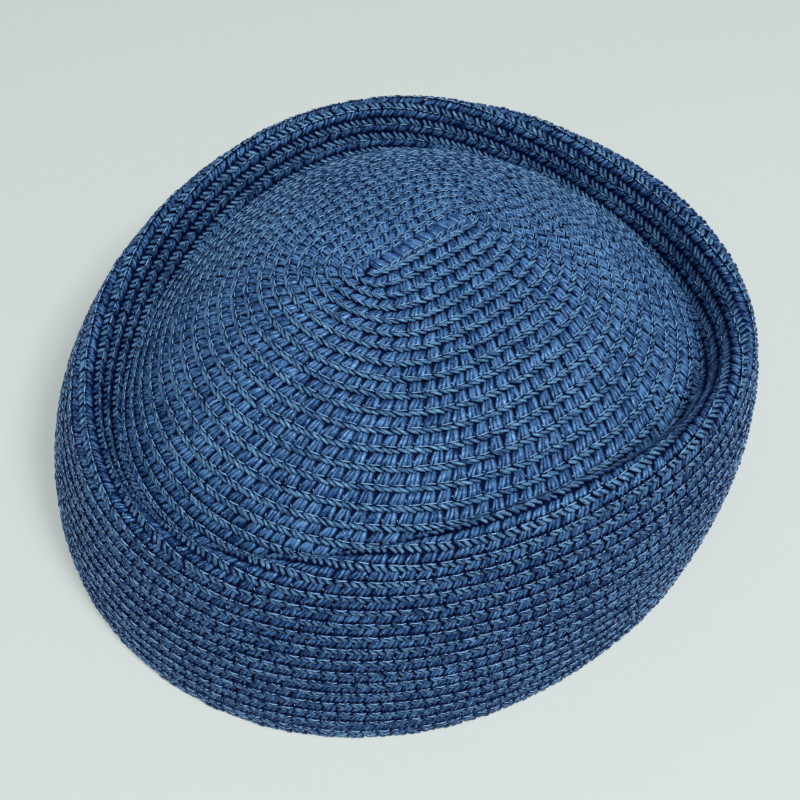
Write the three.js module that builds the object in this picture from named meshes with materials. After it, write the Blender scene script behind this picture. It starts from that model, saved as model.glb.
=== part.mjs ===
// Oval pillbox hat of sewn straw braid: a domed crown tip inside a rolled rim, and a tall side band
// that widens towards the head opening. All lengths are in millimetres, +Z is up, and the lower edge
// of the side band stands on z = 0. The front of the hat faces -Y.
import * as THREE from "three";
import { mergeVertices } from "three/addons/utils/BufferGeometryUtils.js";

// Driving sizes of the straw shell.
const straw_wall = 2.0;
const seam_gap = 0.3;

// Rim: mean radius and mean height of its crest, and the radius of the roll over the crest.
const crest_radius = 75.4;
const crest_height = 48.7;
const roll_radius = 3.0;
const roll_drop = 9.0;

// Groove between the rim and the dome: how far the inner wall runs down from the roll, how far it
// leans from the vertical in degrees, and the width of the groove's floor.
const inner_wall_run = 10.2;
const inner_wall_lean = 16;
const groove_floor = 1.2;

// Dome: height of its top, half the length of the straight strip that the braid starts with, how
// far that strip's middle lies behind and to the left of the crest's middle, and how widely the
// dome's rays spread along the strip.
const dome_height = 66.6;
const start_strip_half = 15.2;
const strip_back = 3.4;
const strip_left = 1.9;
const strip_spread = 1.2;

// Side band: how far the lower edge stands out from the crest, and how far the wall bulges.
const edge_flare = 16.7;
const wall_bulge = 2.1;

// How each size swings round the hat, as shares of that size. The angle starts at +X and turns
// towards +Y, and a column holds the share of the once, twice or three times repeated wave.
const swings = {
  crest_radius: { cos1: 0, sin1: 0, cos2: -0.078, sin2: 0.070, cos3: -0.014, sin3: 0.018 },
  crest_height: { cos1: 0.107, sin1: 0.097, cos2: 0.102, sin2: -0.089, cos3: 0, sin3: 0 },
  inner_wall_run: { cos1: -0.24, sin1: 0.15, cos2: -0.03, sin2: 0.18, cos3: 0, sin3: 0 },
  edge_flare: { cos1: -0.047, sin1: -0.218, cos2: 0.237, sin2: -0.283, cos3: 0, sin3: 0 },
  wall_bulge: { cos1: 0.293, sin1: 0.314, cos2: -0.033, sin2: 0.475, cos3: 0, sin3: 0 },
};

// Where the rings of each part lie, as shares of its run from its upper to its lower end.
const dome_rings = [0.16, 0.34, 0.52, 0.68, 0.82, 0.92, 1];
const inner_wall_rings = [0, 0.5, 1];
const roll_rings = [0, 0.25, 0.5, 0.75, 1];
const band_rings = [0, 0.2, 0.4, 0.6, 0.8, 1];
const sides = 60;

// At a sharp turn the inner face moves at most this many times the straw's thickness.
const longest_mitre = 2;

function swing(size, wave, angle) {
  const once = wave.cos1 * Math.cos(angle) + wave.sin1 * Math.sin(angle);
  const twice = wave.cos2 * Math.cos(2 * angle) + wave.sin2 * Math.sin(2 * angle);
  const thrice = wave.cos3 * Math.cos(3 * angle) + wave.sin3 * Math.sin(3 * angle);
  return size * (1 + once + twice + thrice);
}

// Crest of the rim in plan, and the direction that points straight out of it.
function crestPlan(angle) {
  const radius = swing(crest_radius, swings.crest_radius, angle);
  return new THREE.Vector2(radius * Math.cos(angle), radius * Math.sin(angle));
}

function crestOutward(angle) {
  const step = 0.01;
  const along = crestPlan(angle + step).sub(crestPlan(angle - step));
  return new THREE.Vector2(along.y, -along.x).normalize();
}

// Section of the hat at one angle. In it x is the distance outward from the crest and y is the height.
function section(angle) {
  const height = swing(crest_height, swings.crest_height, angle);
  const run = swing(inner_wall_run, swings.inner_wall_run, angle);
  const lean = THREE.MathUtils.degToRad(inner_wall_lean);
  const flare = swing(edge_flare, swings.edge_flare, angle);
  const bulge = swing(wall_bulge, swings.wall_bulge, angle);
  const centre = new THREE.Vector2(0, height - roll_radius);
  const slope = Math.atan2(flare - roll_radius + 4 * bulge, height);
  const inner = new THREE.Vector2(-Math.cos(lean), Math.sin(lean)).multiplyScalar(roll_radius).add(centre);
  const outer = new THREE.Vector2(Math.cos(slope), Math.sin(slope)).multiplyScalar(roll_radius).add(centre);
  const foot = new THREE.Vector2(-Math.sin(lean), -Math.cos(lean)).multiplyScalar(run).add(inner);
  const groove = new THREE.Vector2(foot.x - groove_floor, foot.y);
  return { height, lean, flare, bulge, centre, slope, inner, outer, foot, groove };
}

// Outer wall at one share of its height, from the end of the roll to the lower edge.
function wallPoint(cut, share) {
  const out = cut.outer.x + (cut.flare - cut.outer.x) * share + 4 * cut.bulge * share * (1 - share);
  return new THREE.Vector2(out, cut.outer.y * (1 - share));
}

// A line of points moved to its other face, by the thickness of the straw.
function otherFace(points, thickness) {
  return points.map((point, i) => {
    const before = points[Math.max(i - 1, 0)];
    const after = points[Math.min(i + 1, points.length - 1)];
    const way_in = point.clone().sub(before).normalize();
    const way_out = after.clone().sub(point).normalize();
    const along = way_in.clone().add(way_out).normalize();
    const mitre = Math.min(1 / along.dot(i > 0 ? way_in : way_out), longest_mitre);
    return new THREE.Vector2(along.y, -along.x).multiplyScalar(thickness * mitre).add(point);
  });
}

// Closed surface through one loop of points at each angle, all loops with the same number of points.
function ringSolid(loops) {
  const positions = loops.flat().flatMap((point) => [point.x, point.y, point.z]);
  const count = loops[0].length;
  const index = [];
  loops.forEach((loop, i) => {
    const next = (i + 1) % loops.length;
    for (let j = 0; j < count; j += 1) {
      const k = (j + 1) % count;
      index.push(i * count + j, i * count + k, next * count + k);
      index.push(i * count + j, next * count + k, next * count + j);
    }
  });
  const geometry = new THREE.BufferGeometry();
  geometry.setAttribute("position", new THREE.Float32BufferAttribute(positions, 3));
  geometry.setIndex(index);
  return geometry;
}

// A point of a section placed in the hat.
function placed(angle, point) {
  const plan = crestPlan(angle).addScaledVector(crestOutward(angle), point.x);
  return new THREE.Vector3(plan.x, plan.y, point.y);
}

const angles = Array.from({ length: sides }, (_, i) => (2 * Math.PI * i) / sides);

// Side band: from below the roll down to the flat lower edge.
function bandStart(cut) {
  return roll_drop / cut.height;
}

function sideBandLoop(angle) {
  const cut = section(angle);
  const start = bandStart(cut);
  const outside = band_rings.map((share) => wallPoint(cut, start + (1 - start) * share));
  const inside = otherFace(outside, straw_wall);
  const last = inside.length - 1;
  const above = inside[last - 1];
  const run_out = above.y / (above.y - inside[last].y);
  inside[last] = above.clone().lerp(inside[last], run_out);
  inside[last].y = 0;
  return [...inside.reverse(), ...outside].map((point) => placed(angle, point));
}

// Rim: from the floor of the groove up the inner wall, over the crest and down to the side band.
function rimLoop(angle) {
  const cut = section(angle);
  const start = new THREE.Vector2(cut.groove.x + seam_gap, cut.groove.y);
  const wall = inner_wall_rings.map((share) => cut.foot.clone().lerp(cut.inner, share));
  const from = Math.PI - cut.lean;
  const roll = roll_rings.slice(1).map((share) => {
    const turn = from + (cut.slope - from) * share;
    return new THREE.Vector2(Math.cos(turn), Math.sin(turn)).multiplyScalar(roll_radius).add(cut.centre);
  });
  const below = wallPoint(cut, bandStart(cut));
  const up = cut.outer.clone().sub(below).setLength(seam_gap);
  const end = below.add(up);
  const top = [start, ...wall, ...roll, end];
  const under = otherFace(top, straw_wall);
  return [...under.reverse(), ...top].map((point) => placed(angle, point));
}

// Dome: from the start strip out to the groove. Each ray leaves the strip near its own side of it.
function domePoint(angle, share, depth) {
  const cut = section(angle);
  const rim = placed(angle, cut.groove);
  const side = (rim.y - strip_back) / start_strip_half;
  const y_start = strip_back + (start_strip_half * side) / Math.hypot(strip_spread, side);
  const strip = new THREE.Vector3(-strip_left, y_start, dome_height);
  const drop = dome_height - rim.z;
  const reach = Math.hypot(rim.x - strip.x, rim.y - strip.y);
  const slope = (2 * drop * share) / reach;
  const point = strip.lerp(rim, share);
  point.z = dome_height - drop * share ** 2 - depth * Math.hypot(1, slope);
  return point;
}

function domeSolid() {
  const ringAt = (share, depth) => angles.map((angle) => domePoint(angle, share, depth));
  const top = dome_rings.map((share) => ringAt(share, 0));
  const under = dome_rings.map((share) => ringAt(share, straw_wall)).reverse();
  const layers = [...top, ...under];
  const points = layers.flat();
  const index = [];
  for (let layer = 0; layer < layers.length - 1; layer += 1) {
    for (let i = 0; i < sides; i += 1) {
      const next = (i + 1) % sides;
      const here = layer * sides;
      index.push(here + i, here + sides + i, here + sides + next);
      index.push(here + i, here + sides + next, here + next);
    }
  }
  const upper = points.length;
  const lower = upper + 1;
  points.push(new THREE.Vector3(-strip_left, strip_back, dome_height));
  points.push(new THREE.Vector3(-strip_left, strip_back, dome_height - straw_wall));
  const last = (layers.length - 1) * sides;
  for (let i = 0; i < sides; i += 1) {
    const next = (i + 1) % sides;
    index.push(upper, i, next);
    index.push(lower, last + next, last + i);
  }
  const geometry = new THREE.BufferGeometry();
  geometry.setFromPoints(points);
  geometry.setIndex(index);
  return geometry;
}

const straw = { roughness: 0.62, metalness: 0 };
const hat = new THREE.Group();

function addPart(name, geometry, colour) {
  const shell = mergeVertices(geometry, 1e-4);
  shell.computeVertexNormals();
  const mesh = new THREE.Mesh(shell, new THREE.MeshStandardMaterial({ color: colour, ...straw }));
  mesh.name = name;
  hat.add(mesh);
  return mesh;
}

addPart("crown_tip", domeSolid(), 0x2f4f86);
addPart("rim_roll", ringSolid(angles.map(rimLoop)), 0x2b4a80);
addPart("side_band", ringSolid(angles.map(sideBandLoop)), 0x33548a);

// The hat stands centred over the origin.
const middle = new THREE.Box3().setFromObject(hat).getCenter(new THREE.Vector3());
hat.children.forEach((mesh) => mesh.position.set(-middle.x, -middle.y, 0));

export default hat;
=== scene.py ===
# %% [markdown]
# A pillbox hat of sewn straw braid. On the real hat one long flat braid starts as a straight strip
# on top of the crown and runs round and round, each row sewn over the edge of the next one, down the
# dome, up the rim, over it and down to the lower edge. The form of the hat could be painted with a
# bump map, but the rows are thick enough to throw shadows and to show in the outline, so every straw
# is a small mesh that lies along its row. We begin with the frame, which holds the plain solids.

# %% Load the frame
import bpy
import bmesh
import math
import numpy as np
from mathutils import Matrix, Vector


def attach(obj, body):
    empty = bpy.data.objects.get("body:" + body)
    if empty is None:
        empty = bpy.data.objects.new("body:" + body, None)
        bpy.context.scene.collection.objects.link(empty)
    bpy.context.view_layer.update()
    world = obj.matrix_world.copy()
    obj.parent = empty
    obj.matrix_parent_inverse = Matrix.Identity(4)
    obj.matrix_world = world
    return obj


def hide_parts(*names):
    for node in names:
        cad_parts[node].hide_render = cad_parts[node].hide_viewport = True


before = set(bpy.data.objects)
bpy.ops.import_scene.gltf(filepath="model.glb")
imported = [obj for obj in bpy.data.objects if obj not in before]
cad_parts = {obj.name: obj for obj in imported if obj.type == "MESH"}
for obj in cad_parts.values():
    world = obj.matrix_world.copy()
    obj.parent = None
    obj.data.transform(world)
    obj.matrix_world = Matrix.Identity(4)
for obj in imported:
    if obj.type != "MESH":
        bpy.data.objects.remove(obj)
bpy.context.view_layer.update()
mm = 0.001

# %% [markdown]
# The camera comes first, because it decides which parts must look best. It looks down at the hat
# from the front right, quite near, and is rolled a little. Its axes follow from those three angles.

# %% Camera
camera_azimuth = math.radians(47.1)
camera_elevation = math.radians(57.6)
camera_roll = math.radians(3.9)
camera_distance = 233.2 * mm
camera_target = Vector((16.2, -9.0, 34.9)) * mm
camera_lens = 42.12

def camera_axes(azimuth, elevation, roll):
    """The camera's right, up and back directions."""
    right = Vector((math.cos(azimuth), math.sin(azimuth), 0))
    ahead = math.cos(elevation)
    back = Vector((math.sin(azimuth) * ahead, -math.cos(azimuth) * ahead, math.sin(elevation)))
    up = back.cross(right)
    turned_right = right * math.cos(roll) + up * math.sin(roll)
    turned_up = up * math.cos(roll) - right * math.sin(roll)
    return turned_right, turned_up, back

def add_camera():
    """Places the camera by its target, its distance and its angles."""
    right, up, back = camera_axes(camera_azimuth, camera_elevation, camera_roll)
    place = camera_target + back * camera_distance
    data = bpy.data.cameras.new("camera")
    data.lens = camera_lens
    data.sensor_width = 36
    data.clip_start = 5 * mm
    camera = bpy.data.objects.new("camera", data)
    bpy.context.scene.collection.objects.link(camera)
    axes = Matrix((right, up, back)).transposed().to_4x4()
    camera.matrix_world = Matrix.Translation(place) @ axes
    bpy.context.scene.camera = camera
    return camera

camera = add_camera()
print("Camera at", [round(v / mm, 1) for v in camera.matrix_world.translation], "mm")

# %% [markdown]
# The hat's surface is worked out from the same sizes as the solids. Going round the hat, each size
# swings a little, which makes the oval plan, the rim that rises to the right and the uneven flare.
# A section through the wall at one angle gives the line from the start strip to the lower edge.

# %% Sizes of the shell
straw_wall = 2.0 * mm
crest_radius = 75.4 * mm
crest_height = 48.7 * mm
roll_radius = 3.0 * mm
roll_drop = 9.0 * mm
inner_wall_run = 10.2 * mm
inner_wall_lean = math.radians(16)
groove_floor = 1.2 * mm
dome_height = 66.6 * mm
start_strip_half = 15.2 * mm
strip_back = 3.4 * mm
strip_left = 1.9 * mm
strip_spread = 1.2
edge_flare = 16.7 * mm
wall_bulge = 2.1 * mm

swing_shares = {
    "crest_radius": {"cos1": 0, "sin1": 0, "cos2": -0.078, "sin2": 0.070, "cos3": -0.014, "sin3": 0.018},
    "crest_height": {"cos1": 0.107, "sin1": 0.097, "cos2": 0.102, "sin2": -0.089, "cos3": 0, "sin3": 0},
    "inner_wall_run": {"cos1": -0.24, "sin1": 0.15, "cos2": -0.03, "sin2": 0.18, "cos3": 0, "sin3": 0},
    "edge_flare": {"cos1": -0.047, "sin1": -0.218, "cos2": 0.237, "sin2": -0.283, "cos3": 0, "sin3": 0},
    "wall_bulge": {"cos1": 0.293, "sin1": 0.314, "cos2": -0.033, "sin2": 0.475, "cos3": 0, "sin3": 0},
}

def swing(size, name, angle):
    """A size at each angle round the hat."""
    share = swing_shares[name]
    total = 1.0
    for times in (1, 2, 3):
        total = total + share[f"cos{times}"] * np.cos(times * angle)
        total = total + share[f"sin{times}"] * np.sin(times * angle)
    return size * total

quarters = np.arange(4) * math.pi / 2
crest_heights = swing(crest_height, "crest_height", quarters) / mm
print("The crest is", crest_heights.round(1), "mm high right, behind, left and in front")

# %% Section lines of the hat
steps_round = 720
dome_steps = 60
wall_steps = 14
roll_steps = 14
band_steps = 44
groove_station = dome_steps - 1
roll_end_station = dome_steps + wall_steps + roll_steps - 2
angle_step = 0.01

def crest_plan(angle):
    """The crest of the rim, seen from above."""
    radius = swing(crest_radius, "crest_radius", angle)
    return np.stack([radius * np.cos(angle), radius * np.sin(angle)], -1)

def placed(angle, out, height):
    """Points a distance out from the crest and at a height, one for each angle."""
    along = crest_plan(angle + angle_step) - crest_plan(angle - angle_step)
    outward = np.stack([along[:, 1], -along[:, 0]], -1)
    outward /= np.linalg.norm(outward, axis=1, keepdims=True)
    return np.column_stack([crest_plan(angle) + outward * out[:, None], height])

def section_lines(angle):
    """Points from the strip to the lower edge, as an array of stations by angles by 3."""
    height = swing(crest_height, "crest_height", angle)
    run = swing(inner_wall_run, "inner_wall_run", angle)
    flare = swing(edge_flare, "edge_flare", angle)
    bulge = swing(wall_bulge, "wall_bulge", angle)
    centre = height - roll_radius
    slope = np.arctan2(flare - roll_radius + 4 * bulge, height)
    inner_out = -roll_radius * math.cos(inner_wall_lean)
    inner_height = centre + roll_radius * math.sin(inner_wall_lean)
    foot_out = inner_out - run * math.sin(inner_wall_lean)
    foot_height = inner_height - run * math.cos(inner_wall_lean)
    outer_out = roll_radius * np.cos(slope)
    outer_height = centre + roll_radius * np.sin(slope)
    groove = placed(angle, foot_out - groove_floor, foot_height)
    side = (groove[:, 1] - strip_back) / start_strip_half
    strip_y = strip_back + start_strip_half * side / np.hypot(strip_spread, side)
    top = np.full_like(angle, dome_height)
    strip = np.column_stack([np.full_like(angle, -strip_left), strip_y, top])
    lines = []
    for share in np.linspace(0, 1, dome_steps):
        point = strip + (groove - strip) * share
        point[:, 2] = dome_height - (dome_height - groove[:, 2]) * share ** 2
        lines.append(point)
    for share in np.linspace(0, 1, wall_steps):
        out = foot_out + (inner_out - foot_out) * share
        lines.append(placed(angle, out, foot_height + (inner_height - foot_height) * share))
    roll_start = math.pi - inner_wall_lean
    for share in np.linspace(0, 1, roll_steps)[1:]:
        turn = roll_start + (slope - roll_start) * share
        lines.append(placed(angle, roll_radius * np.cos(turn), centre + roll_radius * np.sin(turn)))
    for share in np.linspace(0, 1, band_steps)[1:]:
        out = outer_out + (flare - outer_out) * share + 4 * bulge * share * (1 - share)
        lines.append(placed(angle, out, outer_height * (1 - share)))
    return np.array(lines)

round_share = np.linspace(0, 1, steps_round + 1)
round_angles = np.linspace(0, 2 * np.pi, steps_round + 1)
sections = section_lines(round_angles)
print("Section lines:", sections.shape[0], "points each, at", sections.shape[1], "angles")

# %% [markdown]
# Straws are laid in two directions: a row number counted from the strip outwards, and a turn round
# the hat. The section lines are measured with a tape, as it were, and cut in steps of rows. The rows
# lie about evenly, but close round the strip they are narrower, most of all at its ends, and the wall's
# rows run a little aslant. Three pushes that fade out along the line do that, each with its waves.

# %% Surface in rows and turns
row_count = 35.38
steps_along = 1400
fillet = 1.1 * mm
easing_rounds = 2

row_pushes = [
    {"out": 1, "fade": 3, "all": 0.56, "cos1": -0.03, "sin1": 0.18, "cos2": -0.18, "sin2": 0.03},
    {"out": 1, "fade": 7, "all": -0.04, "cos1": -0.09, "sin1": -0.03, "cos2": -0.26, "sin2": -0.22},
    {"out": 2, "fade": 1, "all": -0.08, "cos1": -0.02, "sin1": 0.09, "cos2": -0.05, "sin2": -0.11},
]

def row_at(share, angle):
    """Row number at a share of the way from the strip to the edge, at each angle."""
    pushed = share
    for push in row_pushes:
        wave = push["all"] + push["cos1"] * np.cos(angle) + push["sin1"] * np.sin(angle)
        wave = wave + push["cos2"] * np.cos(2 * angle) + push["sin2"] * np.sin(2 * angle)
        pushed = pushed + share ** push["out"] * np.maximum(1 - share, 0) ** push["fade"] * wave
    return pushed * row_count

def even_steps(lines, angle):
    """The section lines again, in equal steps of rows, with their sharp corners eased."""
    length = np.linalg.norm(np.diff(lines, axis=0), axis=2)
    reach = np.concatenate([np.zeros((1, length.shape[1])), np.cumsum(length, axis=0)])
    even = np.empty((steps_along + 1, lines.shape[1], 3))
    row = np.linspace(0, row_count, steps_along + 1)
    station_row = row_at(reach / reach[-1], angle)
    for j in range(lines.shape[1]):
        for axis in range(3):
            even[:, j, axis] = np.interp(row, station_row[:, j], lines[:, j, axis])
    half = int(round(fillet / (reach[-1].mean() / steps_along)))
    for _ in range(easing_rounds):
        before = 2 * even[:1] - even[half:0:-1]
        after = 2 * even[-1:] - even[-2:-half - 2:-1]
        total = np.cumsum(np.concatenate([0 * even[:1], before, even, after]), axis=0)
        even = (total[2 * half + 1:] - total[:-2 * half - 1]) / (2 * half + 1)
    return even, reach

hat_lines, hat_reach = even_steps(sections, round_angles)
edge_box = np.array([hat_lines[-1].min(axis=0), hat_lines[-1].max(axis=0)])
hat_lines -= np.append(edge_box.mean(axis=0)[:2], 0)
row_pitch = hat_reach[-1].mean() / row_count
shortest_way = hat_reach[-1].min() / mm
longest_way = hat_reach[-1].max() / mm
print("From strip to edge:", shortest_way.round(), "to", longest_way.round(), "mm")
print("Row pitch:", round(row_pitch / mm, 2), "mm")

# %% [markdown]
# A straw has to know where the surface is, which way it faces and how the rows run there. All of that
# could be asked of a mesh with a ray for each straw. Reading it from the grid is faster, because it
# works on thousands of straws at once.

# %% Reading the surface at any row and turn
row_step = 0.05
turn_step = 1e-3

def read_grid(grid, row, turn):
    """Values of a grid at row numbers and turns, evened out between its points."""
    i_at = np.asarray(row) / row_count * steps_along
    j_at = (np.asarray(turn) % 1) * steps_round
    i = np.clip(np.floor(i_at).astype(int), 0, steps_along - 1)
    j = np.clip(np.floor(j_at).astype(int), 0, steps_round - 1)
    p = (i_at - i)[..., None]
    q = (j_at - j)[..., None]
    near = grid[i, j] * (1 - q) + grid[i, j + 1] * q
    far = grid[i + 1, j] * (1 - q) + grid[i + 1, j + 1] * q
    return near * (1 - p) + far * p

def unit(vectors):
    """The same directions with a length of 1."""
    return vectors / np.maximum(np.linalg.norm(vectors, axis=-1, keepdims=True), 1e-12)

def surface_normals(lines):
    """Directions straight out of the surface at every point of the grid."""
    down = np.gradient(lines, axis=0)
    wrapped = np.concatenate([lines[:, -2:-1], lines, lines[:, 1:2]], axis=1)
    across = wrapped[:, 2:] - wrapped[:, :-2]
    return unit(np.cross(down, across))

def directions(row, turn, climb):
    """How the surface runs at each place: one row out, one turn round, along the braid, across it."""
    per_row = read_grid(hat_lines, row + row_step, turn) - read_grid(hat_lines, row - row_step, turn)
    per_row = per_row / (2 * row_step)
    per_turn = read_grid(hat_lines, row, turn + turn_step) - read_grid(hat_lines, row, turn - turn_step)
    per_turn = per_turn / (2 * turn_step)
    along = unit(per_turn + per_row * climb[..., None])
    normal = unit(np.cross(per_row, per_turn))
    across = np.cross(along, normal)
    return per_row, per_turn, along, across

hat_normals = surface_normals(hat_lines)
print("The surface is known at", hat_normals.shape[0], "by", hat_normals.shape[1], "places")

# %% [markdown]
# The braid's own path is a spiral. It comes out from under the front end of the strip. Near the strip
# it changes row only along the right side, and further out it drifts steadily. At the lower edge the
# last turn stays level and slips under the row above it, which is how a hatter ends a braid.

# %% Path of the braid
points_per_turn = 480
first_turn = 0.12
start_of_turns = 0.75
drift_start = 1 - start_of_turns
stair_turns = 4
turns_to_edge = row_count - start_of_turns
level_row = row_count - 0.5
climb_step = 0.01

def braid_row(turns):
    """Row number of the braid's middle after some turns: a step each turn at first, then an even
    drift, and the level last row at the edge."""
    whole = np.floor(turns)
    part = np.clip(2 * (turns - whole), 0, 1)
    stair = whole + part * part * (3 - 2 * part)
    drift = turns + drift_start
    row = drift + (stair - drift) * np.exp(-turns / stair_turns)
    return np.minimum(row, level_row)

path_turns = np.arange(first_turn, turns_to_edge + 1, 1 / points_per_turn)
path_rows = braid_row(path_turns)
path_points = read_grid(hat_lines, path_rows, path_turns + start_of_turns)
path_length = np.append(0, np.cumsum(np.linalg.norm(np.diff(path_points, axis=0), axis=1)))
print("Braid:", round(path_length[-1], 2), "m in", round(path_turns[-1] - path_turns[0], 1), "turns")

def along_braid(distance):
    """Row, turn, climb per turn and how far under the last turn lies, at distances along the braid."""
    turns = np.interp(distance, path_length, path_turns)
    row = np.interp(distance, path_length, path_rows)
    climb = (braid_row(turns + climb_step) - braid_row(turns - climb_step)) / (2 * climb_step)
    under = np.clip(turns - turns_to_edge, 0, 1)
    return row, (turns + start_of_turns) % 1, climb, under

# %% Laying points on the braid
least_crowding = 0.6
most_crowding = 1.4
tuck_depth = 0.5 * mm
lowest_straw = 0.02 * mm

def lay(distance, along_at, across_at, height_at):
    """Places points given beside the braid's middle: along it, across it towards the next row, and
    above the surface. The first argument has one value a straw, the others one for each point."""
    row, turn, climb, under = along_braid(distance)
    per_row, per_turn, along, across = directions(row, turn, climb)
    a, b = (per_row * along).sum(-1), (per_row * across).sum(-1)
    c, d = (per_turn * along).sum(-1), (per_turn * across).sum(-1)
    det = a * d - b * c
    crowding = np.clip(np.abs(det / c) / row_pitch, least_crowding, most_crowding)[:, None]
    across_at = across_at * crowding
    rows_at = row[:, None] + (along_at * d[:, None] - across_at * c[:, None]) / det[:, None]
    turns_at = turn[:, None] + (across_at * a[:, None] - along_at * b[:, None]) / det[:, None]
    point = read_grid(hat_lines, rows_at, turns_at)
    normal = unit(read_grid(hat_normals, rows_at, turns_at))
    lifted = height_at - tuck_depth * under[:, None]
    laid = point + normal * lifted[..., None]
    laid[..., 2] = np.maximum(laid[..., 2], lowest_straw)
    return laid

# %% [markdown]
# One straw is a small closed body with blunt round ends. A sphere with few faces, stretched and made
# fuller near its ends, has that shape. Thousands are needed, so the sphere is made once, and its
# points are copied, stretched, turned and laid by array maths, and joined in one mesh.

# %% One straw
end_fullness = 0.25
end_bluntness = 0.75

def straw_form(name, sides, rings):
    """Points and triangles of a unit straw that lies along X. The triangles are put in order, since
    the operator lists them in another order each time."""
    bm = bmesh.new()
    bmesh.ops.create_uvsphere(bm, u_segments=sides, v_segments=rings, radius=1)
    bmesh.ops.rotate(bm, verts=bm.verts, matrix=Matrix.Rotation(math.pi / 2, 3, "Y"))
    bmesh.ops.triangulate(bm, faces=bm.faces)
    bmesh.ops.recalc_face_normals(bm, faces=bm.faces)
    bm.verts.index_update()
    points = np.array([vert.co[:] for vert in bm.verts])
    faces = np.array([[vert.index for vert in face.verts] for face in bm.faces])
    bm.free()
    faces = np.array([np.roll(face, -face.argmin()) for face in faces])
    faces = faces[np.lexsort(faces.T)]
    points[:, 1:] *= 1 + end_fullness * np.sin(math.pi * np.abs(points[:, :1]))
    points[:, 0] = np.sign(points[:, 0]) * np.abs(points[:, 0]) ** end_bluntness
    print(name, "has", len(points), "points and", len(faces), "triangles")
    return points, faces

leaf_form = straw_form("A leaf straw", sides=6, rings=4)
rung_form = straw_form("A rung straw", sides=4, rings=4)
stitch_form = straw_form("A stitch", sides=4, rings=4)
loop_form = straw_form("A loop of thread", sides=3, rings=3)

# %% Many straws in one mesh
pattern_shift = 97

def stretched(form, shape):
    """Each straw's points: along the braid, across it and above it, and along and across the straw
    itself. shape gives one value a straw for its half length, half width, half thickness, turn from
    the braid's way, place along and across the braid, height, rise and bow."""
    x, y, z = form[0].T
    length = shape["half_length"][:, None] * x
    width = shape["half_width"][:, None] * y
    cos, sin = np.cos(shape["turn"])[:, None], np.sin(shape["turn"])[:, None]
    along = shape["along"][:, None] + length * cos - width * sin
    across = shape["across"][:, None] + length * sin + width * cos
    height = shape["height"][:, None] + shape["half_thick"][:, None] * z
    height = height + shape["rise"][:, None] * x - shape["bow"][:, None] * x * x
    return along, across, height, length, width

def joined_mesh(name, form, points, length, width, tone):
    """One mesh of many straws, with a UV map in millimetres along and across each straw, a tone,
    which is one value a straw, and a value that says how far each point lies on the straw's top.
    The tone shifts the UV map too, so that no two straws show the same streaks."""
    count, size = points.shape[:2]
    faces = (form[1][None] + (np.arange(count) * size)[:, None, None]).reshape(-1, 3)
    mesh = bpy.data.meshes.new(name)
    mesh.from_pydata(points.reshape(-1, 3), [], faces)
    mesh.shade_smooth()
    shift = tone[:, None] * pattern_shift
    flat = np.stack([length / mm + shift, width / mm + shift * 3], -1).reshape(-1, 2)
    layer = mesh.uv_layers.new(name="straw")
    layer.data.foreach_set("uv", flat[faces.ravel()].astype(np.float32).ravel())
    tones = mesh.attributes.new("tone", "FLOAT", "POINT")
    tones.data.foreach_set("value", np.repeat(tone, size).astype(np.float32))
    tops = mesh.attributes.new("top", "FLOAT", "POINT")
    tops.data.foreach_set("value", np.tile(form[0][:, 2], count).astype(np.float32))
    piece = bpy.data.objects.new(name, mesh)
    bpy.context.scene.collection.objects.link(piece)
    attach(piece, "root")
    print(name, "has", count, "straws and", len(faces), "triangles")
    return piece

# %% [markdown]
# Each braid shows two kinds of straw. Rungs cross its middle in pairs, one of them folded into two
# ridges, with a gap after each pair, and lean one way. Leaves lie along its outer edge like the strands
# of a rope and lean the other way. The edge of one row lies on the next row's rungs, so the leaves stand
# higher than the rungs, and the rungs sink towards the row that covers them. A stitch runs along the
# leaves' upper side and dives into each gap. A little chance in each keeps it from looking cast.

# %% Chance and steepness
pair_pitch = 0.875 * row_pitch
steep_from_row = 15
wall_shade_from_row = 18.5
rows_to_steep = 5
luck = np.random.default_rng(7)

def spread(count, middle, around):
    """One value a straw, near the middle one."""
    return middle + around * luck.uniform(-1, 1, count)

def steepness(distance, first_row):
    """0 on the dome and 1 on the side wall, where the braid is pulled and its straws stand steeper."""
    row = np.interp(distance, path_length, path_rows)
    return np.clip((row - first_row) / rows_to_steep, 0, 1)

print("A pair of straws takes", round(pair_pitch / mm, 2), "mm of braid")

# %% Shape of the leaves
def leaf_shape(steep):
    """Two straws a pair of leaves, a little nearer to each other than to the next pair."""
    pairs = len(steep)
    count = 2 * pairs
    steep = np.repeat(steep, 2)
    offset = np.tile([-0.78, 0.74], pairs) + np.repeat(spread(pairs, 0, 0.12), 2)
    return {
        "half_length": (spread(count, 1.60, 0.15) - 0.18 * steep) * mm,
        "half_width": (spread(count, 0.48, 0.06) + 0.06 * steep) * mm,
        "half_thick": spread(count, 0.48, 0.06) * mm,
        "turn": np.radians(spread(count, 23, 7) + 17 * steep),
        "along": (offset + spread(count, 0, 0.08)) * mm,
        "across": (spread(count, 1.10, 0.11) - 0.10 * steep) * mm,
        "height": (spread(count, 0.30, 0.13) + 0.06 * steep) * mm,
        "rise": spread(count, -0.12, 0.12) * mm,
        "bow": spread(count, 0.28, 0.08) * mm,
    }

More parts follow.
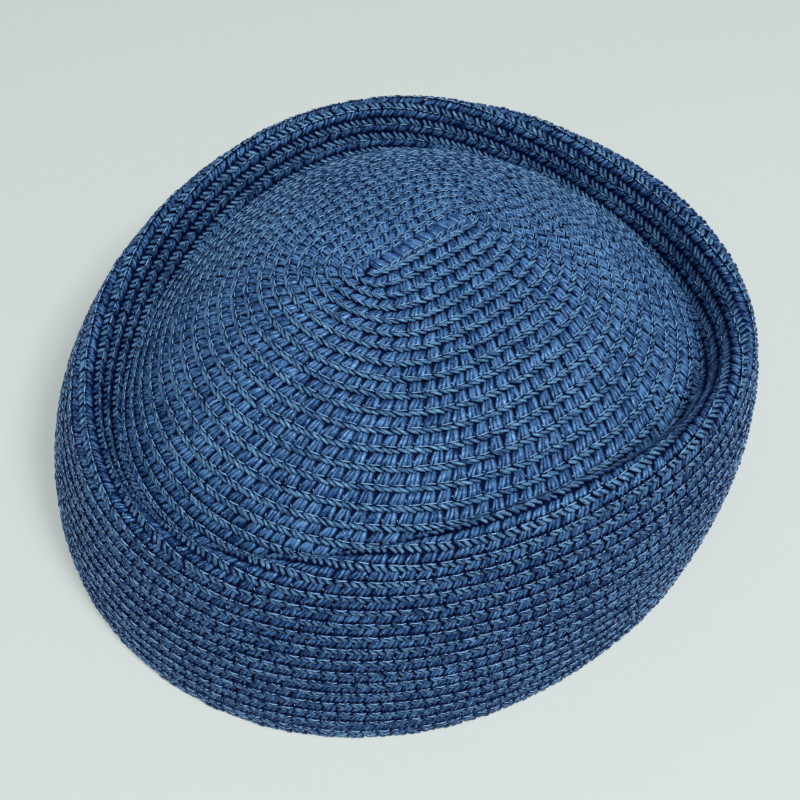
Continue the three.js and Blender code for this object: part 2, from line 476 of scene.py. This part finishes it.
# %% Shape of the rungs
def rung_shape(steep):
    """Three straws a pair of rungs: the two ridges of the wide one, and the narrow one."""
    pairs = len(steep)
    count = 3 * pairs
    offset = np.tile([-1.04, -0.30, 0.74], pairs) + np.repeat(spread(pairs, 0, 0.16), 3)
    turn = np.tile([-60, -64, -74], pairs) + np.repeat(spread(pairs, 0, 9) + 12 * steep, 3)
    height = np.tile([-0.12, 0.0, -0.06], pairs) + np.repeat(spread(pairs, 0, 0.08), 3)
    narrower = 1 - 0.12 * np.repeat(steep, 3)
    return {
        "half_length": (spread(count, 1.68, 0.12) - 0.38 * np.repeat(steep, 3)) * mm,
        "half_width": np.tile([0.63, 0.67, 0.88], pairs) * narrower * spread(count, 1, 0.14) * mm,
        "half_thick": spread(count, 0.40, 0.08) * mm,
        "turn": np.radians(turn + spread(count, 0, 4)),
        "along": (offset + spread(count, 0, 0.06)) * mm,
        "across": spread(count, -0.92, 0.09) * mm,
        "height": (height + spread(count, 0, 0.06)) * mm,
        "rise": spread(count, -0.20, 0.08) * mm,
        "bow": spread(count, 0.16, 0.06) * mm,
    }

# %% Shape of the sewing thread
def stitch_shape(steep):
    """One stitch a pair, which lies a little higher on the side wall."""
    count = len(steep)
    return {
        "half_length": spread(count, 1.38, 0.22) * mm,
        "half_width": spread(count, 0.115, 0.02) * mm,
        "half_thick": spread(count, 0.115, 0.02) * mm,
        "turn": np.radians(spread(count, 1, 4)),
        "along": spread(count, 0, 0.2) * mm,
        "across": spread(count, 0.34, 0.07) * mm,
        "height": (spread(count, 0.47, 0.08) + 0.13 * steep) * mm,
        "rise": spread(count, 0, 0.06) * mm,
        "bow": spread(count, 0.32, 0.08) * mm,
    }

def loop_shape(count):
    """Small loops of thread, which show in the gap after each pair."""
    return {
        "half_length": spread(count, 0.32, 0.08) * mm,
        "half_width": spread(count, 0.13, 0.03) * mm,
        "half_thick": spread(count, 0.13, 0.03) * mm,
        "turn": np.radians(spread(count, 70, 30)),
        "along": spread(count, 0, 0.15) * mm,
        "across": spread(count, -0.35, 0.30) * mm,
        "height": spread(count, -0.10, 0.12) * mm,
        "rise": spread(count, 0.1, 0.1) * mm,
        "bow": spread(count, 0, 0.05) * mm,
    }

# %% [markdown]
# The frame has three solids, so the straws become three meshes of each kind. A straw belongs to the
# crown tip up to the groove, then to the rim, and past the line where the frame's side band starts to
# the side band. The row numbers of both lines are worked out at each angle.

# %% Which part of the hat a straw lies on
groove_rows = row_at(hat_reach[groove_station] / hat_reach[-1], round_angles)
band_rows = row_at((hat_reach[roll_end_station] + roll_drop) / hat_reach[-1], round_angles)

def part_of_hat(distance):
    """0 for the crown tip, 1 for the rim and 2 for the side band, one value a straw."""
    row, turn, _, _ = along_braid(distance)
    past_groove = row > np.interp(turn, round_share, groove_rows)
    past_rim = row > np.interp(turn, round_share, band_rows)
    return past_groove.astype(int) + past_rim

print("The groove lies at rows", groove_rows.min().round(1), "to", groove_rows.max().round(1))
print("The side band starts at rows", band_rows.min().round(1), "to", band_rows.max().round(1))

# %% Leaves, rungs and stitches on the rows
part_names = ("crown_tip", "rim_roll", "side_band")
gap_share = 0.47

def lay_straws(kind, form, distance, shape, darker=0):
    """Lays straws on all three parts of the hat, one mesh for each part. The straws of the side wall
    get their tones lowered by a share, painted shade for the wall's dimmer light."""
    along, across, height, length, width = stretched(form, shape)
    points = lay(distance, along, across, height)
    # Painted shade: on the side wall the tones drop, which darkens the wall as less light would.
    tone = luck.uniform(0, 1, len(distance)) - darker * steepness(distance, wall_shade_from_row)
    part = part_of_hat(distance)
    pieces = []
    for number, part_name in enumerate(part_names):
        here = part == number
        name = f"{part_name}_{kind}"
        pieces.append(joined_mesh(name, form, points[here], length[here], width[here], tone[here]))
    return pieces

pair_at = np.arange(0, path_length[-1], pair_pitch)
gap_at = pair_at[:-1] + gap_share * pair_pitch
pair_steep = steepness(pair_at, steep_from_row)
leaves = lay_straws("leaves", leaf_form, np.repeat(pair_at, 2), leaf_shape(pair_steep), darker=0.35)
rungs = lay_straws("rungs", rung_form, np.repeat(pair_at, 3), rung_shape(pair_steep), darker=0.45)
stitches = lay_straws("stitches", stitch_form, pair_at, stitch_shape(pair_steep))
loops = lay_straws("thread_loops", loop_form, gap_at, loop_shape(len(gap_at)))

# %% [markdown]
# The straight strip on top is the first stretch of the braid. It lies flat, with broad rungs right
# across it, a low edge of leaves on its right side and a line of stitches along both sides. It could
# be part of the spiral, but it runs straight over the middle of the grid, where all turns meet. So it
# is laid along a line of its own, with the same straws, some of them made broader.

# %% Start strip
strip_middle = np.array([0.0, 7.6]) * mm
strip_reach = 13.1 * mm
strip_lift = 0.50 * mm
strip_end_share = 0.15
strip_end_drop = 0.5
strip_darker = 0.25

def lay_on_strip(distance, along, across, height):
    """Places points beside the strip's middle line, which runs towards the front of the hat. Its
    ends bend down a little into the rows round it."""
    y = strip_middle[1] - distance[:, None] - along
    x = strip_middle[0] + across
    past_bend = np.maximum(np.abs(distance) / strip_reach - (1 - strip_end_share), 0)
    end = past_bend[:, None] / strip_end_share
    return np.stack([x, y, dome_height + height + strip_lift * (1 - strip_end_drop * end)], -1)

def strip_straws(name, form, distance, shape):
    """Lays straws on the strip, as one mesh."""
    along, across, height, length, width = stretched(form, shape)
    points = lay_on_strip(distance, along, across, height)
    tone = luck.uniform(0, 1, len(distance)) - strip_darker
    return joined_mesh(name, form, points, length, width, tone)

strip_pair_at = np.arange(-strip_reach, strip_reach, pair_pitch)
left_stitch_at = strip_pair_at[1:-1]
not_steep = np.zeros(len(strip_pair_at))
strip_leaf_shape = leaf_shape(not_steep)
strip_leaf_shape["across"] += 0.45 * mm
strip_leaf_shape["height"] -= 0.35 * mm
strip_leaf_shape["half_length"] *= 0.85
strip_rung_shape = rung_shape(not_steep)
strip_rung_shape["half_length"] *= 1.2
strip_rung_shape["half_width"] *= 1.35
strip_rung_shape["across"] += 0.60 * mm
strip_rung_shape["rise"] *= 0
left_stitch_shape = stitch_shape(not_steep[1:-1])
left_stitch_shape["across"] -= 2.40 * mm
right_stitch_shape = stitch_shape(not_steep)
right_stitch_shape["across"] += 1.20 * mm
right_stitch_shape["height"] += 0.10 * mm

strip_leaf_at = np.repeat(strip_pair_at, 2)
strip_rung_at = np.repeat(strip_pair_at, 3)
leaves.append(strip_straws("start_strip_leaves", leaf_form, strip_leaf_at, strip_leaf_shape))
rungs.append(strip_straws("start_strip_rungs", rung_form, strip_rung_at, strip_rung_shape))
for side, stitch_at, shape in (
    ("left", left_stitch_at, left_stitch_shape),
    ("right", strip_pair_at, right_stitch_shape),
):
    stitches.append(strip_straws(f"start_strip_{side}_stitches", stitch_form, stitch_at, shape))

# %% [markdown]
# Under the straws lies a closed shell, one for each part of the hat. It shows as the dark ground
# between the straws, and from below as the inside of the hat. The frame's own solids could serve, but
# their facets would show, so a finer flat grid is wrapped round the hat and sewn up where its ends
# meet. A Solidify modifier gives it its thickness, and its inner side the shell's second material.

# %% Shells under the straws
shell_depth = 0.45 * mm
shell_wall = straw_wall - shell_depth
shell_sides = 240
strip_hole_rows = 0.4
edge_cut_rows = 0.35

def wrapped_grid(first_rows, last_rows, steps):
    """A grid wrapped round the hat between two rows, which are given at each turn. Its UV map holds
    the turn and the row."""
    bm = bmesh.new()
    bmesh.ops.create_grid(bm, x_segments=shell_sides, y_segments=steps, size=1)
    flat = np.array([vert.co[:2] for vert in bm.verts])
    turn = (flat[:, 0] + 1) / 2
    first = np.interp(turn, round_share, first_rows)
    last = np.interp(turn, round_share, last_rows)
    row = first + (last - first) * (flat[:, 1] + 1) / 2
    point = read_grid(hat_lines, row, turn)
    normal = unit(read_grid(hat_normals, row, turn))
    layer = bm.loops.layers.uv.new("rows")
    bm.verts.index_update()
    for face in bm.faces:
        for loop in face.loops:
            loop[layer].uv = (turn[loop.vert.index], row[loop.vert.index])
    for vert, place in zip(bm.verts, point - normal * shell_depth):
        vert.co = place
    bmesh.ops.remove_doubles(bm, verts=bm.verts, dist=0.001 * mm)
    bm.normal_update()
    bm.faces.ensure_lookup_table()
    if bm.faces[0].normal.dot(Vector(normal[0])) < 0:
        bmesh.ops.reverse_faces(bm, faces=bm.faces)
    return bm

def shell(name, node, first_rows, last_rows, steps, fill_top=False):
    """One closed shell that stands for a solid of the frame. fill_top closes the hole under the
    start strip."""
    bm = wrapped_grid(first_rows, last_rows, steps)
    if fill_top:
        top = [edge for edge in bm.edges if edge.is_boundary and edge.verts[0].co.z > dome_height - mm]
        filled = bmesh.ops.edgeloop_fill(bm, edges=top)["faces"]
        bmesh.ops.triangulate(bm, faces=filled)
    mesh = bpy.data.meshes.new(name)
    bm.to_mesh(mesh)
    bm.free()
    mesh.shade_smooth()
    piece = bpy.data.objects.new(name, mesh)
    bpy.context.scene.collection.objects.link(piece)
    wall = piece.modifiers.new("wall", "SOLIDIFY")
    wall.thickness = shell_wall
    wall.offset = -1
    wall.material_offset = 1
    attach(piece, "root")
    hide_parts(node)
    print(name, "has", len(mesh.polygons), "faces on its outer side")
    return piece

top_rows = np.full(steps_round + 1, strip_hole_rows)
edge_rows = np.full(steps_round + 1, row_count - edge_cut_rows)
shells = [
    shell("crown_tip_shell", "crown_tip", top_rows, groove_rows, steps=44, fill_top=True),
    shell("rim_roll_shell", "rim_roll", groove_rows, band_rows, steps=36),
    shell("side_band_shell", "side_band", band_rows, edge_rows, steps=24),
]

# %% [markdown]
# Finishes are made of nodes. Adding and multiplying sockets reads badly as nodes, so a small class
# lets a socket be reckoned with like a number, and one method adds any other node.

# %% Reckoning with sockets
def join(tree, socket, value):
    """Gives a socket a value, or links one that varies to it."""
    if isinstance(value, Varying):
        tree.links.new(value.socket, socket)
    else:
        socket.default_value = value

class Varying:
    """A value that varies over a surface."""

    def __init__(self, tree, socket):
        self.tree = tree
        self.socket = socket

    def maths(self, operation, first, second=0.0):
        """Adds a Math node and returns its result."""
        node = self.tree.nodes.new("ShaderNodeMath")
        node.operation = operation
        for socket, value in zip(node.inputs, (first, second)):
            join(self.tree, socket, value)
        return Varying(self.tree, node.outputs[0])

    def __add__(self, other):
        return self.maths("ADD", self, other)

    def __radd__(self, other):
        return self.maths("ADD", other, self)

    def __sub__(self, other):
        return self.maths("SUBTRACT", self, other)

    def __rsub__(self, other):
        return self.maths("SUBTRACT", other, self)

    def __mul__(self, other):
        return self.maths("MULTIPLY", self, other)

    def __rmul__(self, other):
        return self.maths("MULTIPLY", other, self)

    def floor(self):
        return self.maths("FLOOR", self)

    def part(self):
        """What is left of a number when its whole part is taken off."""
        return self.maths("FRACT", self)

    def size(self):
        return self.maths("ABSOLUTE", self)

    def wave(self):
        """A wave from 0 to 1 with one crest for each whole number."""
        return self.maths("COSINE", self * (2 * math.pi)) * 0.5 + 0.5

    def held(self, low=0.0, high=1.0):
        """The value, kept between two limits."""
        return self.maths("MINIMUM", self.maths("MAXIMUM", self, low), high)

# %% A finish and its nodes
class Finish:
    """A material with its shader, and the means to add nodes to it."""

    def __init__(self, name):
        self.material = bpy.data.materials.new(name)
        self.material.use_nodes = True
        self.tree = self.material.node_tree
        self.shader = self.tree.nodes["Principled BSDF"]

    def node(self, kind, settings=(), sockets=(), output=0):
        """Adds a node, gives it its settings, then its sockets, and returns one of its outputs."""
        node = self.tree.nodes.new(kind)
        for name, value in dict(settings).items():
            setattr(node, name, value)
        for name, value in dict(sockets).items():
            join(self.tree, node.inputs[name], value)
        return Varying(self.tree, node.outputs[output])

    def give(self, **sockets):
        """Sets sockets of the shader, whose names are written with a low line for a space."""
        for name, value in sockets.items():
            join(self.tree, self.shader.inputs[name.replace("_", " ")], value)

    def blend(self, factor, first, second):
        """A colour between two colours."""
        sockets = {0: factor, 6: first, 7: second}
        return self.node("ShaderNodeMix", {"data_type": "RGBA"}, sockets, 2)

    def noise(self, place, scale, detail):
        """Soft noise from 0 to 1."""
        return self.node("ShaderNodeTexNoise", {}, {"Vector": place, "Scale": scale, "Detail": detail})

    def split(self, place):
        """The three parts of a place."""
        first = self.node("ShaderNodeSeparateXYZ", {}, {"Vector": place})
        return [Varying(self.tree, socket) for socket in first.socket.node.outputs]

    def merged(self, x, y):
        """A place on a flat map from its two parts."""
        return self.node("ShaderNodeCombineXYZ", {}, {"X": x, "Y": y})

    def bumps(self, height, distance, strength):
        """Bumps that follow a height."""
        sockets = {"Height": height, "Distance": distance, "Strength": strength}
        self.give(Normal=self.node("ShaderNodeBump", {}, sockets))

# %% Colours
def colour(red, green, blue):
    """A colour given as a screen shows it, from 0 to 255."""
    plain = [value / 255 for value in (red, green, blue)]
    linear = [v / 12.92 if v <= 0.04045 else ((v + 0.055) / 1.055) ** 2.4 for v in plain]
    return (*linear, 1)

print("A grey of 128 becomes", round(colour(128, 128, 128)[0], 3), "in the shader")

# %% [markdown]
# The straw is flat paper or plastic yarn in denim blue. Each straw has fine streaks along it and its
# own shade of blue, and larger patches of the hat are a little lighter or darker. Streaks follow the
# straw's own UV map, and patches follow Object coordinates. A straw's sides, where it bends down between
# its neighbours, are painted in shade: its attribute top fades it from its lit crest to a deep blue.

# %% Straw finish
# Painted shade: the deep blue that a straw's sides fade to, where they dive under its neighbours.
painted_shade_blue = colour(0, 15, 68)
deep_blue = colour(0, 38, 92)
light_blue = colour(98, 150, 206)
light_grey_blue = colour(108, 160, 200)
tone_share = 0.45
streak_share = 2.4
patch_share = 0.5
fleck_share = 1.1
side_fade = 2.0

def straw_finish(name, light, shine, brightness, painted_side_shade):
    """The straw in one of its blues. The last argument says how much of the straw's sides is painted in
    shade.
    """
    finish = Finish(name)
    tone = finish.node("ShaderNodeAttribute", {"attribute_name": "tone"}, output=2)
    top = finish.node("ShaderNodeAttribute", {"attribute_name": "top"}, output=2)
    flat = finish.node("ShaderNodeUVMap", {"uv_map": "straw"})
    along, across, _ = finish.split(flat)
    streaks = finish.noise(finish.merged(along * 0.5, across * 2.2), scale=1.0, detail=3.0)
    flecks = finish.noise(finish.merged(along * 1.6, across * 2.0), scale=1.3, detail=1.0)
    place = finish.node("ShaderNodeTexCoord", output=3)
    patches = finish.noise(place, scale=55.0, detail=2.0)
    shade = (tone - 0.5) * tone_share + (streaks - 0.5) * streak_share
    shade = shade + (patches - 0.5) * patch_share + (flecks - 0.5) * fleck_share
    straw = finish.blend((shade + brightness).held(), deep_blue, light)
    # Painted shade: where top is low, at a straw's sides and ends, its colour fades to the shaded blue.
    lit = (top * side_fade - painted_side_shade).held()
    finish.give(Base_Color=finish.blend(lit, painted_shade_blue, straw))
    finish.give(Roughness=(0.42 - (streaks - 0.5) * 0.9 - shine + (1.0 - lit) * 0.5).held(0.18, 0.9))
    finish.give(Specular_IOR_Level=0.55, Specular_Tint=(0.45, 0.74, 1.0, 1))
    finish.bumps(streaks, distance=0.2 * mm, strength=0.9)
    return finish.material

leaf_finish = straw_finish("edge_straw", light_grey_blue, shine=0.08, brightness=0.50, painted_side_shade=0.75)
rung_finish = straw_finish("rung_straw", light_blue, shine=0.05, brightness=0.41, painted_side_shade=0.15)
print("Straw finishes:", leaf_finish.name, "and", rung_finish.name)

# %% Thread finish
dark_thread = colour(108, 164, 220)
light_thread = colour(160, 206, 248)

def stitch_finish():
    """The sewing thread, with its twist as a slanted wave."""
    finish = Finish("sewing_thread")
    flat = finish.node("ShaderNodeUVMap", {"uv_map": "straw"})
    along, across, _ = finish.split(flat)
    twist = (along * 2.2 + across * 1.5).wave()
    finish.give(Base_Color=finish.blend(twist, dark_thread, light_thread), Roughness=0.3)
    finish.bumps(twist, distance=0.04 * mm, strength=0.6)
    return finish.material

thread_finish = stitch_finish()
print("Thread finish:", thread_finish.name)

# %% [markdown]
# The shell's outer side is the ground between the straws: the same yarn in painted shadow, with the
# pattern of rows in it. Its inner side shows the back of the braid, whose rungs and row edges are a bump
# that follows the rows, since nobody looks at it from near.

# %% Shell finishes
pairs_a_row = 8.9
fewest_pairs = 8.0
most_pairs = 198.0
rung_lean = 1.1

def row_pattern(finish):
    """Rungs and row edges as heights from 0 to 1, from a UV map of turns and rows."""
    flat = finish.node("ShaderNodeUVMap", {"uv_map": "rows"})
    turn, row, _ = finish.split(flat)
    row = row + turn
    number = row.floor()
    pairs = (number * pairs_a_row + fewest_pairs).held(fewest_pairs, most_pairs).floor()
    fold = (row.part() - 0.5).size()
    rungs = (turn * pairs * 2.0 + fold * rung_lean).wave()
    edge = ((1.0 - fold * 2.0).held() * 4.0).held()
    return rungs, edge

def ground_finish(name, dark, light, depth):
    """The shell's straw between two blues, with bumps of a given depth."""
    finish = Finish(name)
    rungs, edge = row_pattern(finish)
    place = finish.node("ShaderNodeTexCoord", output=3)
    grain = finish.noise(place, scale=900.0, detail=3.0)
    patches = finish.noise(place, scale=55.0, detail=2.0)
    height = rungs * edge
    shade = height * 0.7 + (grain - 0.5) * 0.8 + (patches - 0.5) * 0.6 + 0.1
    finish.give(Base_Color=finish.blend(shade.held(), dark, light))
    finish.give(Roughness=(0.95 - grain * 0.3).held(0.3, 0.9))
    finish.give(Specular_IOR_Level=0.1)
    finish.bumps(height + grain * 0.15, depth, strength=0.8)
    return finish.material

# Painted shade: the ground's near-black blues stand for the yarn in shadow deep between the straws.
ground = ground_finish("shaded_braid_ground", colour(0, 6, 36), colour(2, 26, 80), depth=0.3 * mm)
inside = ground_finish("braid_inside", colour(12, 40, 92), colour(84, 132, 188), depth=0.6 * mm)

# %% Each piece gets its finish
for pieces, finishes in (
    (leaves, [leaf_finish]),
    (rungs, [rung_finish]),
    (stitches + loops, [thread_finish]),
    (shells, [ground, inside]),
):
    for piece in pieces:
        for material in finishes:
            piece.data.materials.append(material)
print("Finishes:", [material.name for material in bpy.data.materials])

# %% [markdown]
# The hat stands on its lower edge on a plain pale floor. A light nearly overhead gives the sheen on
# the dome's front, and one on the right the soft shadow on the left. A wide light above them and a
# pale sky fill the rest. A stronger sky would be simpler, but it washes out the dark gaps.

# %% Floor
floor_size = 6.0

def add_floor():
    """A flat sheet under the hat, which isn't part of it."""
    bm = bmesh.new()
    bmesh.ops.create_grid(bm, x_segments=4, y_segments=4, size=floor_size / 2)
    mesh = bpy.data.meshes.new("floor")
    bm.to_mesh(mesh)
    bm.free()
    floor = bpy.data.objects.new("floor", mesh)
    bpy.context.scene.collection.objects.link(floor)
    finish = Finish("pale_floor")
    finish.give(Base_Color=colour(206, 214, 211), Roughness=0.9)
    mesh.materials.append(finish.material)

add_floor()
print("Floor:", floor_size, "m wide")

# %% Lights
hat_middle = Vector((0, 0, 30 * mm))
light_distance = 1.6
white = (1.0, 1.0, 1.0)
cool_white = (0.98, 0.99, 1.0)
sky_colour = (0.94, 0.98, 1.0, 1)

def add_light(name, azimuth, elevation, width, power, tint):
    """A soft square light that looks at the hat."""
    right, up, back = camera_axes(math.radians(azimuth), math.radians(elevation), 0)
    data = bpy.data.lights.new(name, "AREA")
    data.shape = "SQUARE"
    data.size = width
    data.energy = power
    data.color = tint
    light = bpy.data.objects.new(name, data)
    axes = Matrix((right, up, back)).transposed().to_4x4()
    light.matrix_world = Matrix.Translation(hat_middle + back * light_distance) @ axes
    bpy.context.scene.collection.objects.link(light)

def add_sky(strength):
    """An even sky of one colour."""
    world = bpy.data.worlds.new("sky")
    world.use_nodes = True
    background = world.node_tree.nodes["Background"]
    background.inputs["Color"].default_value = sky_colour
    background.inputs["Strength"].default_value = strength
    bpy.context.scene.world = world

add_light("window_light", azimuth=112, elevation=57, width=0.4, power=11, tint=white)
add_light("ceiling_light", azimuth=36, elevation=74, width=0.35, power=15, tint=white)
add_light("room_light", azimuth=45, elevation=78, width=2.0, power=2, tint=cool_white)
add_sky(strength=0.15)
bpy.context.scene.view_settings.view_transform = "Standard"
print("Lights:", [light.name for light in bpy.data.lights])
